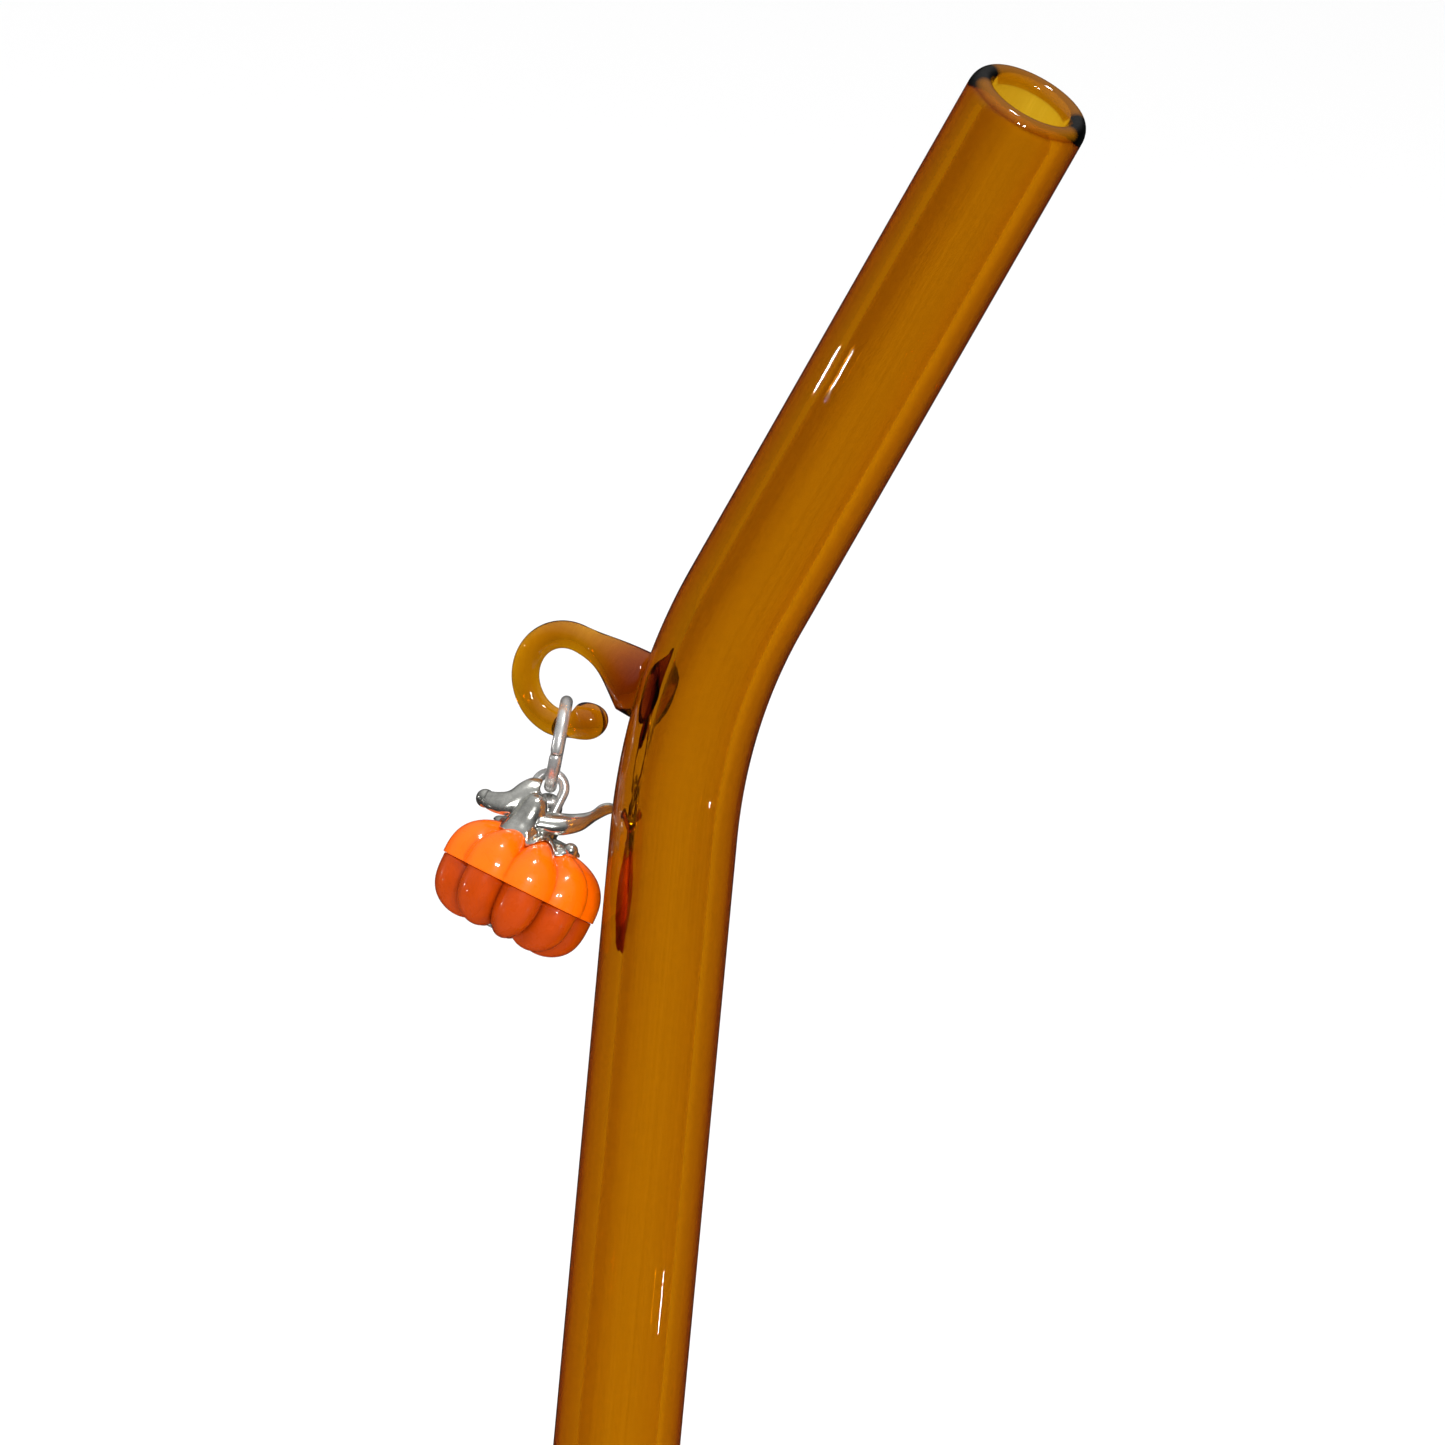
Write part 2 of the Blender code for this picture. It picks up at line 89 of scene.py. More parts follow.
# ---- sizes of the looks alone
UPPER_ARM = 47.35  # 0.25 more than in the CAD
TUBE_SIDES = 128
BEND_STEPS = 56
LEG_START = 8.0  # the wall's first ring, above the lower end
ARM_STOP = 5.0  # how far below the mouth the arm's even rings stop
MOUTH_RINGS = (3.0, 2.0, 1.5, 1.3)  # the wall's last rings, below the mouth
RIM_STEPS = 14
RIM_TALL = (1.15, 1.0)  # height of the rim's outer and inner rounding
HOOK_SIDES = 64
FOOT_STEPS = 60
CURL_STEPS = 130
FOOT_TUCK = (0.25, 0.4)  # how near the tube the foot's skin is pulled in, and how far at the most
WELD_SEAM = 0.05  # the thin gap between the hook's foot and the tube
TIP_R = 1.2
NECK_R = 0.8
NECK_LENGTH = 1.5
TIP_RUN = 0.8  # how far the tip runs past the curl's end
RING_CUT = radians(194)
RING_CUT_HALF = 0.055
EYE_TURN = radians(318)
PIN_HEAD = (  # height from the head's top and radius, with the shank last
    (-0.42, 0.70), (-0.40, 0.84), (-0.33, 0.92), (-0.2, 0.95), (-0.07, 0.92), (0.0, 0.84), (0.02, EYE_WIRE_R),
)
HEAD_R = 0.95
HEAD_TOP = -0.05  # over the lower half's skin, taken at the head's edge
UPPER_GROOVES = (0.55, 0.75)  # how deep the grooves are at the side and at the top
LOWER_GROOVES = (1.1, 0.75)
GROOVE_POWER = 1.25  # the higher, the narrower the grooves
GROOVE_FADE = 3.0  # distance from the axis inside which the grooves die out
SKIN_END = radians(86)  # how far up the outline the ribs run before the hole
SKIN_SPREAD = 1.1  # above 1 the skin's rings crowd towards the seam
SEAM_LIP = 0.05
SEAM_HALF = 0.012  # half the gap between the halves

STRAIGHT = LOWER_LEG - BEND_RADIUS * tan(BEND_ANGLE / 2)
ARC = BEND_RADIUS * BEND_ANGLE
LENGTH = STRAIGHT + ARC + UPPER_ARM - BEND_RADIUS * tan(BEND_ANGLE / 2)

# ---- leaf cap, in millimetres from the pumpkin's centre: to the right, to the back and up
MELT_STEP = 0.065  # fineness of the skin that joins the cap's parts
SKIRT_SHARES = (0.05, 0.2, 0.35, 0.5, 0.62, 0.72, 0.8, 0.87, 0.93, 0.98, 1.0)
SKIRT_SIDES = 160
SKIRT_R = 3.0
SKIRT_LOBE = 0.42
SKIRT_LEFT = radians(-160)  # where the skirt is shorter and its lobes lower
SKIRT_SHORT = 0.9  # how much shorter it is there
SKIRT_CALM = 0.7  # the share of its lobes that goes there
SKIRT_SHIFT = 0.7  # to the left of the pumpkin's axis
SKIRT_LIFT = 0.06  # its underside over the pumpkin's skin
SKIRT_THICK = (0.28, 0.5)  # thickness near the edge, and how much more there is in the middle
STEM_PLACE = (-1.2, -1.3)
STEM_SLOPE = 0.04  # how far the stem's root leans to the left
STEM_PROFILE = (  # height and radius
    (2.9, 1.45), (3.4, 1.30), (3.8, 1.12), (4.2, 1.00), (4.7, 0.93),
    (5.1, 0.85), (5.4, 0.74), (5.65, 0.57), (5.8, 0.36), (5.87, 0.12),
)
STEM_TOP = 5.9
LEFT_LEAF = (  # its upper curve, its lower curve, and its half thickness at the root and the tip
    ((-1.5, -0.5, 6.85), (-2.2, -0.6, 6.6), (-2.7, -0.8, 6.0),
     (-3.1, -0.9, 5.25), (-3.7, -0.8, 4.85), (-4.3, -0.5, 4.65)),
    ((-1.3, -1.0, 4.6), (-1.9, -1.2, 4.1), (-2.5, -1.3, 3.75),
     (-3.1, -1.3, 3.6), (-3.7, -1.1, 3.55), (-4.3, -0.7, 3.65)),
    (0.55, 0.35),
)
RIGHT_LEAF = (
    ((-0.6, -1.2, 5.0), (0.4, -1.1, 5.4), (1.2, -0.9, 5.75), (2.0, -0.4, 6.3),
     (2.4, 0.1, 7.0), (2.9, 0.35, 7.35), (3.45, 0.5, 7.3)),
    ((-0.6, -1.6, 3.5), (0.5, -1.6, 3.9), (1.3, -1.4, 4.3), (2.1, -0.8, 5.0),
     (2.6, -0.1, 5.9), (3.1, 0.25, 6.6), (3.5, 0.5, 6.95)),
    (0.8, 0.2),
)
KNOBS = (  # centre and radius: the curled tip, its root, the right tip, two at the back and one in front
    ((-4.25, -0.1, 4.12), 0.6),
    ((-3.45, -0.62, 4.42), 0.34),
    ((3.45, 0.5, 7.1), 0.27),
    ((-0.5, 1.15, 5.3), 0.95),
    ((-0.3, 1.0, 4.2), 1.2),
    ((2.0, -1.9, 3.55), 0.5),
)

# ---- finishes
GLASS_IOR = 1.47
GLASS_ABSORBS = (0.885, 0.755, 0.0)
TUBE_DENSITY = 1900.0
HOOK_DENSITY = 3600.0
GLASS_TINTS = ((0.3, (0.82, 0.68, 0.2)), (0.5, (0.87, 0.73, 0.25)), (0.7, (0.91, 0.77, 0.3)))
# painted light: a dull amber on the front and back of the mouth's rim stands in for the light seen through
# the rim's glass
LIP_PAINTED_LIGHT = (0.28, 0.095, 0.0)
LIP_CLEAR = 0.45  # how much light the rim still lets through where its light is painted on
MOUTH_FRONT = Vector((0.30, -0.954))  # across the arm in the plane of the bend, and along Y
LIP_FACING = (0.22, 0.5)  # how squarely the rim faces front or back where the painted light starts and is full
LIP_FRONT = (0.1, 0.8)  # depth below the mouth at which the painted light starts to fade and is gone
LIP_BACK = (0.3, 1.1)
WIRE_SILVER = ((0.93, 0.92, 0.90), 0.5, 0.2, 0.8)  # colour, brightness of the painted shade in the hollows, roughness, metal
CAST_SILVER = ((0.86, 0.86, 0.80), 0.12, 0.1, 0.96)
UPPER_ENAMEL = ((0.98, 0.135, 0.0), (0.85, 0.6, 0.5), 0.03)  # colour, painted shade in the grooves, coat roughness
# the lower half: the same orange enamel, painted darker as shade on the half that faces down
LOWER_ENAMEL_SHADED = ((0.43, 0.045, 0.0), (0.55, 0.42, 0.3), 0.06)
ROOM = ((0.0, 0.015), (0.2, 0.05), (0.75, 0.35), (1.0, 0.5))  # brightness in mirrors, from level to up

# ---- view
VIEW_TURN = radians(25.9)
VIEW_RISE = radians(15.0)
VIEW_ROLL = radians(5.36)
VIEW_WIDTH = 90.3125
VIEW_DISTANCE = 1200.0
SENSOR = 36.0
AIM = (2.306, -1.025)  # right of and above the crossing of the straw's axes
FLOOR_HALF = 30000.0
FLOOR_DROP = 0.0002  # below the straw's lower end, in metres
LIGHTS = (  # name, direction as right, up and back, distance, size and power, in metres and watts
    ("key_left", (0.10, 0.16, 1.0), 0.7, 0.05, 1.3),
    ("key_right", (0.26, 0.10, 1.0), 0.7, 0.05, 1.3),
    ("top", (0.35, 1.0, 0.55), 0.8, 0.12, 3.0),
    ("side_left", (-0.978, 0.196, -0.065), 0.2935, 0.004, 0.05),
    ("side_right", (-0.939, -0.036, 0.343), 0.2939, 0.003, 0.016),
    ("low_right", (0.735, -0.575, 0.36), 0.316, 0.005, 0.008),
)


# ------------------------------------------------------------- mesh helpers


def new_object(name, data):
    made = bpy.data.objects.new(name, data)
    bpy.context.scene.collection.objects.link(made)
    return made


def write_object(name, bm, matrix=None):
    """A smooth object in metres from a mesh in millimetres, placed by its vertices."""
    bmesh.ops.recalc_face_normals(bm, faces=bm.faces)
    bmesh.ops.scale(bm, vec=(MM, MM, MM), verts=bm.verts)
    if matrix is not None:
        bm.transform(matrix)
    mesh = bpy.data.meshes.new(name)
    bm.to_mesh(mesh)
    bm.free()
    mesh.shade_smooth()
    return new_object(name, mesh)


def loft(bm, rings, join_ends=False, caps=False):
    loops = [[bm.verts.new(point) for point in ring] for ring in rings]
    pairs = list(zip(loops, loops[1:]))
    if join_ends:
        pairs.append((loops[-1], loops[0]))
    for first, second in pairs:
        for i in range(len(first)):
            j = (i + 1) % len(first)
            bm.faces.new((first[i], first[j], second[j], second[i]))
    if caps:
        bm.faces.new(loops[0])
        bm.faces.new(loops[-1])


def circle(centre, side, up, radius, count):
    turns = [2 * pi * i / count for i in range(count)]
    return [centre + radius * (cos(a) * side + sin(a) * up) for a in turns]


def sweep(bm, stations, side, count):
    rings = []
    for centre, tangent, radius in stations:
        rings.append(circle(centre, side, tangent.normalized().cross(side), radius, count))
    loft(bm, rings, caps=True)


def apply_boolean(obj, other, operation):
    modifier = obj.modifiers.new("cut", "BOOLEAN")
    modifier.operation = operation
    modifier.solver = "EXACT"
    modifier.object = other
    bake_modifiers(obj)
    bpy.data.objects.remove(other, do_unlink=True)


def bake_modifiers(obj):
    bpy.context.view_layer.update()
    made = bpy.data.meshes.new_from_object(obj.evaluated_get(bpy.context.evaluated_depsgraph_get()))
    old = obj.data
    obj.modifiers.clear()
    obj.data = made
    made.name = obj.name
    bpy.data.meshes.remove(old)
    made.shade_smooth()


def mixed(a, b, t):
    return a + (b - a) * t


def eased(value, low, high):
    """0 up to low, 1 from high on, and smooth between them."""
    t = min(max((value - low) / (high - low), 0), 1)
    return t * t * (3 - 2 * t)


def along(points, t):
    """A point on a smooth curve through the given ones, with t from 0 to 1."""
    place = t * (len(points) - 1)
    i = min(int(place), len(points) - 2)
    u = place - i
    p0, p1 = points[max(i - 1, 0)], points[i]
    p2, p3 = points[i + 1], points[min(i + 2, len(points) - 1)]
    return 0.5 * (
        2 * p1 + (p2 - p0) * u + (2 * p0 - 5 * p1 + 4 * p2 - p3) * u * u
        + (3 * p1 - p0 - 3 * p2 + p3) * u * u * u
    )


# ------------------------------------------------------------- node helpers


def new_material(name):
    made = bpy.data.materials.new(name)
    made.use_nodes = True
    return made, made.node_tree, made.node_tree.nodes["Principled BSDF"]


def node(tree, kind, **values):
    made = tree.nodes.new(kind)
    for name, value in values.items():
        made.inputs[name.replace("_", " ")].default_value = value
    return made


def ramp(tree, source, stops):
    """A colour ramp fed from an output, with stops of (place, grey or colour)."""
    made = tree.nodes.new("ShaderNodeValToRGB")
    elements = made.color_ramp.elements
    while len(elements) < len(stops):
        elements.new(0.5)
    for element, (place, colour) in zip(elements, stops):
        element.position = place
        element.color = (*colour, 1) if isinstance(colour, tuple) else (colour, colour, colour, 1)
    tree.links.new(source, made.inputs["Fac"])
    return made.outputs["Color"]


def stored(tree, name, output):
    """An output of the node that reads a stored attribute of the mesh."""
    made = tree.nodes.new("ShaderNodeAttribute")
    made.attribute_name = name
    return made.outputs[output]


def mapped(tree, source, scale):
    made = tree.nodes.new("ShaderNodeMapping")
    made.inputs["Scale"].default_value = scale
    tree.links.new(source, made.inputs["Vector"])
    return made.outputs["Vector"]


def noise(tree, vector, scale, detail=3.0, roughness=0.5):
    made = node(tree, "ShaderNodeTexNoise", Scale=scale, Detail=detail, Roughness=roughness)
    tree.links.new(vector, made.inputs["Vector"])
    return made.outputs["Fac"]


def combine(tree, kind, first, second, share):
    """Two colours joined by a Mix node of the given blend kind. The share is a number or an output."""
    made = tree.nodes.new("ShaderNodeMix")
    made.data_type = "RGBA"
    made.blend_type = kind
    if isinstance(share, float):
        made.inputs[0].default_value = share
    else:
        tree.links.new(share, made.inputs[0])
    tree.links.new(first, made.inputs[6])
    if isinstance(second, tuple):
        made.inputs[7].default_value = (*second, 1)
    else:
        tree.links.new(second, made.inputs[7])
    return made.outputs[2]


def bump(tree, height, strength, distance, below=None):
    made = node(tree, "ShaderNodeBump", Strength=strength, Distance=distance)
    tree.links.new(height, made.inputs["Height"])
    if below is not None:
        tree.links.new(below, made.inputs["Normal"])
    return made.outputs["Normal"]


# ---------------------------------------------------------------- materials


def glass_material(name, density):
    """Drawn amber glass, with faint lines and broad bands along the tube, the bands partly painted shade for
    a dark stripe refracted through the bend, fine scratches, and painted light on the mouth's rim.
    """
    made, tree, shader = new_material(name)
    link = tree.links.new
    shader.inputs["IOR"].default_value = GLASS_IOR
    flow = stored(tree, "flow", "Vector")
    lines = noise(tree, mapped(tree, flow, (9, 9, 0.02)), 1.0, 3.0)
    bands = noise(tree, mapped(tree, flow, (0.42, 0.42, 0.004)), 1.0, 1.0)
    fine = ramp(tree, lines, GLASS_TINTS)
    # broad bands: random tone in the glass, darkened also as painted shade for the dark stripe refracted
    # through the bend
    bands_and_painted_stripe = ramp(tree, bands, [(0.36, (0.86, 0.78, 0.7)), (0.52, (1, 1, 1))])
    tint = combine(tree, "MULTIPLY", fine, bands_and_painted_stripe, 1.0)
    # painted light on the rim: a dull amber colour there, with less light let through
    painted_rim_light = stored(tree, "painted_rim_light", "Fac")
    tinted = ramp(tree, painted_rim_light, [(0.0, 0.0), (0.25, 1.0)])
    link(combine(tree, "MIX", tint, LIP_PAINTED_LIGHT, tinted), shader.inputs["Base Color"])
    clear = ramp(tree, painted_rim_light, [(0.2, 1.0), (1.0, LIP_CLEAR)])
    link(clear, shader.inputs["Transmission Weight"])
    scratches = noise(tree, mapped(tree, flow, (40, 40, 0.12)), 1.0, 2.0)
    rough = ramp(tree, scratches, [(0.0, 0.004), (0.64, 0.006), (0.74, 0.04)])
    link(rough, shader.inputs["Roughness"])
    waves = noise(tree, mapped(tree, flow, (1.6, 1.6, 0.03)), 1.0, 2.0)
    first = bump(tree, waves, 0.25, 0.04 * MM)
    link(bump(tree, lines, 0.06, 0.01 * MM, first), shader.inputs["Normal"])
    depth = node(tree, "ShaderNodeVolumeAbsorption", Color=(*GLASS_ABSORBS, 1), Density=density)
    link(depth.outputs["Volume"], tree.nodes["Material Output"].inputs["Volume"])
    return made


def silver_material(name, colour, hollow_shade, rough, metal):
    """Bright plated metal with patches of tarnish, painted shade in its hollows, fine scratches and a
    slightly soft surface.
    """
    made, tree, shader = new_material(name)
    link = tree.links.new
    shader.inputs["Metallic"].default_value = metal
    place = tree.nodes.new("ShaderNodeTexCoord").outputs["Object"]
    cloud = noise(tree, place, 900.0, 4.0, 0.6)
    worn = ramp(tree, cloud, [(0.40, colour), (0.66, tuple(0.6 * c for c in colour))])
    # painted shade: the hollows, where Pointiness is low, are darkened
    point = tree.nodes.new("ShaderNodeNewGeometry").outputs["Pointiness"]
    hollow = ramp(tree, point, [(0.40, hollow_shade), (0.49, 1.0)])
    link(combine(tree, "MULTIPLY", worn, hollow, 1.0), shader.inputs["Base Color"])
    link(ramp(tree, cloud, [(0.3, rough), (0.75, rough + 0.14)]), shader.inputs["Roughness"])
    soft = bump(tree, noise(tree, place, 1500.0, 3.0), 0.35, 0.03 * MM)
    scratch = noise(tree, mapped(tree, place, (9000, 1500, 2500)), 1.0, 2.0)
    link(bump(tree, scratch, 0.12, 0.01 * MM, soft), shader.inputs["Normal"])
    return made


def enamel_material(name, colour, shade, coat_rough):
    """Glossy enamel with painted shade in the grooves, faint waves and specks."""
    made, tree, shader = new_material(name)
    link = tree.links.new
    place = tree.nodes.new("ShaderNodeTexCoord").outputs["Object"]
    cloud = noise(tree, place, 700.0, 3.0)
    base = ramp(tree, cloud, [(0.3, tuple(0.88 * c for c in colour)), (0.7, colour)])
    # painted shade: the grooves, where Pointiness is low, are darkened
    point = tree.nodes.new("ShaderNodeNewGeometry").outputs["Pointiness"]
    painted_groove_shade = ramp(tree, point, [(0.42, shade), (0.495, (1, 1, 1))])
    speck = ramp(tree, noise(tree, place, 9000.0, 2.0), [(0.28, 0.72), (0.36, 1.0)])
    groove_shaded = combine(tree, "MULTIPLY", base, painted_groove_shade, 1.0)
    link(combine(tree, "MULTIPLY", groove_shaded, speck, 0.5), shader.inputs["Base Color"])
    link(ramp(tree, cloud, [(0.3, 0.22), (0.7, 0.34)]), shader.inputs["Roughness"])
    shader.inputs["Specular IOR Level"].default_value = 0.12
    shader.inputs["Coat Weight"].default_value = 0.7
    shader.inputs["Coat Roughness"].default_value = coat_rough
    link(bump(tree, noise(tree, place, 1100.0, 2.0), 0.3, 0.05 * MM), shader.inputs["Normal"])
    return made


# ------------------------------------------------------------ glass body


def straw_point(s):
    angle = min(max(s - STRAIGHT, 0) / BEND_RADIUS, BEND_ANGLE)
    tangent = Vector((sin(angle), 0, cos(angle)))
    if s <= STRAIGHT:
        return Vector((0, 0, s)), tangent
    centre = Vector((BEND_RADIUS * (1 - cos(angle)), 0, STRAIGHT + BEND_RADIUS * sin(angle)))
    return centre + max(s - STRAIGHT - ARC, 0) * tangent, tangent


def nearest_s(point):
    """Distance along the straw's axis of the place nearest to a point."""
    angle = atan2(point.z - STRAIGHT, BEND_RADIUS - point.x)
    if angle <= 0:
        return point.z
    if angle >= BEND_ANGLE:
        end, tangent = straw_point(STRAIGHT + ARC)
        return STRAIGHT + ARC + (point - end).dot(tangent)
    return STRAIGHT + BEND_RADIUS * angle


def straw_ring(s, radius):
    centre, tangent = straw_point(s)
    side = Vector((0, 1, 0))
    return circle(centre, side, tangent.cross(side), radius, TUBE_SIDES)


def bend_places():
    return [STRAIGHT + ARC * i / BEND_STEPS for i in range(BEND_STEPS + 1)]


def rim_profile():
    """(distance in from the end, radius) round a fire-polished end, longer along the tube than across."""
    across = (TUBE_R - BORE_R) / 2
    outer_tall, inner_tall = RIM_TALL
    turns = [pi / 2 * i / RIM_STEPS for i in range(RIM_STEPS + 1)]
    profile = [(outer_tall * (1 - sin(a)), TUBE_R - across * (1 - cos(a))) for a in turns]
    profile += [(inner_tall * (1 - cos(a)), BORE_R + across * (1 - sin(a))) for a in turns]
    return profile


def wall_stations():
    """Places along the straw, close together round the bend and near the mouth."""
    leg = [mixed(LEG_START, STRAIGHT, i / 24) for i in range(24)]
    arm = [mixed(STRAIGHT + ARC, LENGTH - ARM_STOP, i / 10) for i in range(1, 11)]
    return leg + bend_places() + arm + [LENGTH - depth for depth in MOUTH_RINGS]


def make_tube():
    rim = rim_profile()
    rings = [straw_ring(s, TUBE_R) for s in wall_stations()]
    rings += [straw_ring(LENGTH - depth, radius) for depth, radius in rim]
    rings += [straw_ring(s, BORE_R) for s in reversed(wall_stations())]
    rings += [straw_ring(depth, radius) for depth, radius in reversed(rim)]
    bm = bmesh.new()
    loft(bm, rings, join_ends=True)
    return write_object("straw_glass", bm)


def hook_centre():
    return Vector((-TUBE_R - STANDOFF, 0, LOWER_LEG))


def curl_point(angle):
    outward = Vector((cos(angle), 0, sin(angle)))
    return hook_centre() + CURL_R * outward, Vector((-sin(angle), 0, cos(angle)))


def tip_radius(left):
    """The rod's radius at a distance from its end: a thin neck, then a swollen round tip."""
    if left < TIP_R:
        return max(TIP_R * TIP_R - (TIP_R - left) ** 2, 0.0) ** 0.5
    past = left - TIP_R
    if past < NECK_LENGTH:
        return mixed(TIP_R, NECK_R, eased(past, 0, NECK_LENGTH))
    return mixed(NECK_R, ROD_R, min(past - NECK_LENGTH, 1))


def hook_stations():
    start = Vector((-(TUBE_R + BORE_R) / 2, 0, LOWER_LEG + FOOT_RISE))
    join, join_tangent = curl_point(CURL_START)
    reach = (join - start).length
    lift = Vector((-cos(FOOT_ANGLE), 0, sin(FOOT_ANGLE)))
    root = (start - lift * FOOT_ROOT, lift, FOOT_R)
    first = start + lift * reach * HOOK_REACH[0]
    second = join - join_tangent * reach * HOOK_REACH[1]
    stations = [root]
    for i in range(FOOT_STEPS):
        t = i / FOOT_STEPS
        u = 1 - t
        centre = u**3 * start + 3 * u * u * t * first + 3 * u * t * t * second + t**3 * join
        tangent = u * u * (first - start) + 2 * u * t * (second - first) + t * t * (join - second)
        stations.append((centre, tangent, ROD_R + (FOOT_R - ROD_R) * u**FOOT_FLARE))
    end = CURL_END + TIP_RUN / CURL_R
    curl_length = CURL_R * (end - CURL_START)
    for i in range(CURL_STEPS + 1):
        t = i / CURL_STEPS
        t = t if t < 0.8 else 0.8 + 0.2 * sin(pi / 2 * (t - 0.8) / 0.2)  # closer together round the tip
        centre, tangent = curl_point(CURL_START + t * (end - CURL_START))
        stations.append((centre, tangent, max(tip_radius(curl_length * (1 - t)), 0.02)))
    return stations


def tuck_foot(bm, stations):
    """Pulls the foot's skin in just over the tube, as a bead of glass that was pressed on."""
    bm.verts.ensure_lookup_table()
    near, most = FOOT_TUCK
    for k, (centre, _, _) in enumerate(stations[: FOOT_STEPS + 1]):
        for vert in bm.verts[k * HOOK_SIDES : (k + 1) * HOOK_SIDES]:
            gap = (vert.co - straw_point(nearest_s(vert.co))[0]).length - TUBE_R
            if gap < near:
                pull = most * (1 - max(gap, 0) / near) ** 2
                out = vert.co - centre
                vert.co = centre + out * max(1 - pull / max(out.length, 0.1), 0.2)


def make_hook():
    stations = hook_stations()
    bm = bmesh.new()
    sweep(bm, stations, Vector((0, 1, 0)), HOOK_SIDES)
    tuck_foot(bm, stations)
    hook = write_object("hook_glass", bm)
    core = bmesh.new()
    loft(core, [straw_ring(s, TUBE_R + WELD_SEAM) for s in bend_places()], caps=True)
    apply_boolean(hook, write_object("hook_core", core), "DIFFERENCE")
    return hook


def store_flow(obj):
    """Keeps each vertex's place round and along the straw, in millimetres, for the marks in the glass."""
    flow = obj.data.attributes.new("flow", "FLOAT_VECTOR", "POINT")
    for vert, item in zip(obj.data.vertices, flow.data):
        point = vert.co / MM
        s = nearest_s(point)
        centre, tangent = straw_point(s)
        out = point - centre
        item.vector = (out.dot(Vector((0, 1, 0)).cross(tangent)), out.y, s)


def store_painted_rim_light(obj):
    """Marks the front and the back of the mouth's rim, where the amber light seen through the rim is painted
    on as a dull colour.
    """
    painted_rim_light = obj.data.attributes.new("painted_rim_light", "FLOAT", "POINT")
    for flow, item in zip(obj.data.attributes["flow"].data, painted_rim_light.data):
        out = Vector(flow.vector[:2])
        facing = out.normalized().dot(MOUTH_FRONT)
        depth = LENGTH - flow.vector[2]
        clear = eased(depth, *(LIP_FRONT if facing > 0 else LIP_BACK))
        item.value = eased(abs(facing), *LIP_FACING) * (1 - clear)


def make_glass():
    for piece, finish, cad_node in (
        (make_tube(), glass_material("amber_glass", TUBE_DENSITY), "straw_tube"),
        (make_hook(), glass_material("hook_glass", HOOK_DENSITY), "charm_hook"),
    ):
        store_flow(piece)
        store_painted_rim_light(piece)
        piece.data.materials.clear()
        piece.data.materials.append(finish)
        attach(piece, "straw")
        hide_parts(cad_node)


# ------------------------------------------------------------ chain frames


def scaled(vector):
    return Matrix.Translation(Vector(vector) * MM)


def ring_top():
    return ROD_R + RING_PLAY + RING_WIRE_R


def ring_matrix():
    """Origin on the rod at the bottom of the curl, X along the ring's own axis, Z up the ring."""
    place = hook_centre() - Vector((0, 0, CURL_R))
    turn = Matrix.Rotation(CHAIN_TURN, 4, "Z") @ Matrix.Rotation(-CHAIN_TILT, 4, "X")
    return scaled(place) @ turn @ Matrix.Rotation(RING_LEAN, 4, "Y")


def pumpkin_matrix():
    """Origin at the pumpkin's centre, X to its right, Y to the back, Z up its axis."""
    down = scaled((0, 0, ring_top() - 2 * RING_R))
    lean = Matrix.Rotation(CHARM_LEAN - RING_LEAN, 4, "Y")
    return ring_matrix() @ down @ lean @ scaled((EYE_R, 0, -CHARM_DROP))


def finish_charm(obj, finish, slot, *nodes):
    obj.data.materials.clear()
    obj.data.materials.append(finish)
    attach(obj, "charm")
    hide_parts(*nodes)


# --------------------------------------------------------------- jump ring


def drawn_in(radius, left, shares):
    """A wire's radius at the given number of stations from its end, where it narrows by the given shares."""
    return radius * shares[left] if left < len(shares) else radius


def make_ring(finish):
    """A split ring. Its cut is on the near side, a little below the middle."""
    centre = Vector((0, 0, ring_top() - RING_R))
    half_gap = RING_CUT_HALF / RING_R
    bm = bmesh.new()
    stations = []
    steps = 150
    for i in range(steps + 1):
        angle = RING_CUT + half_gap + (2 * pi - 2 * half_gap) * i / steps
        outward = Vector((0, cos(angle), sin(angle)))
        radius = drawn_in(RING_WIRE_R, min(i, steps - i), (0.86, 0.96))
        stations.append((centre + RING_R * outward, Vector((0, -sin(angle), cos(angle))), radius))
    sweep(bm, stations, Vector((1, 0, 0)), 32)
    ring = write_object("split_ring", bm, ring_matrix())
    ring.data.materials.append(finish)
    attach(ring, "ring")
    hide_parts("jump_ring")


# ------------------------------------------------------------------ pumpkin


def groove_share(angle):
    """0 on a rib's crest, 1 in the groove between two."""
    return (1 - abs(sin(RIBS / 2 * (angle - FIRST_GROOVE)))) ** GROOVE_POWER


def groove_fade(rho):
    """1 out on the pumpkin's side, falling to 0 at its axis."""
    return min(1, (rho / GROOVE_FADE) ** 2)


def dimple(rho, shape):
    return shape[0] * exp(-((rho / shape[1]) ** 2))


def height_on_top(rho, angle):
    share = groove_share(angle)
    edge = min(rho / (PUMPKIN_R - UPPER_GROOVES[0] * share), 1)
    fall = UPPER_GROOVES[1] * share * groove_fade(rho)
    height = (PUMPKIN_HALF_H - fall) * (1 - edge**UPPER_POWER) ** (1 / UPPER_POWER)
    return height - dimple(rho, UPPER_DIMPLE)


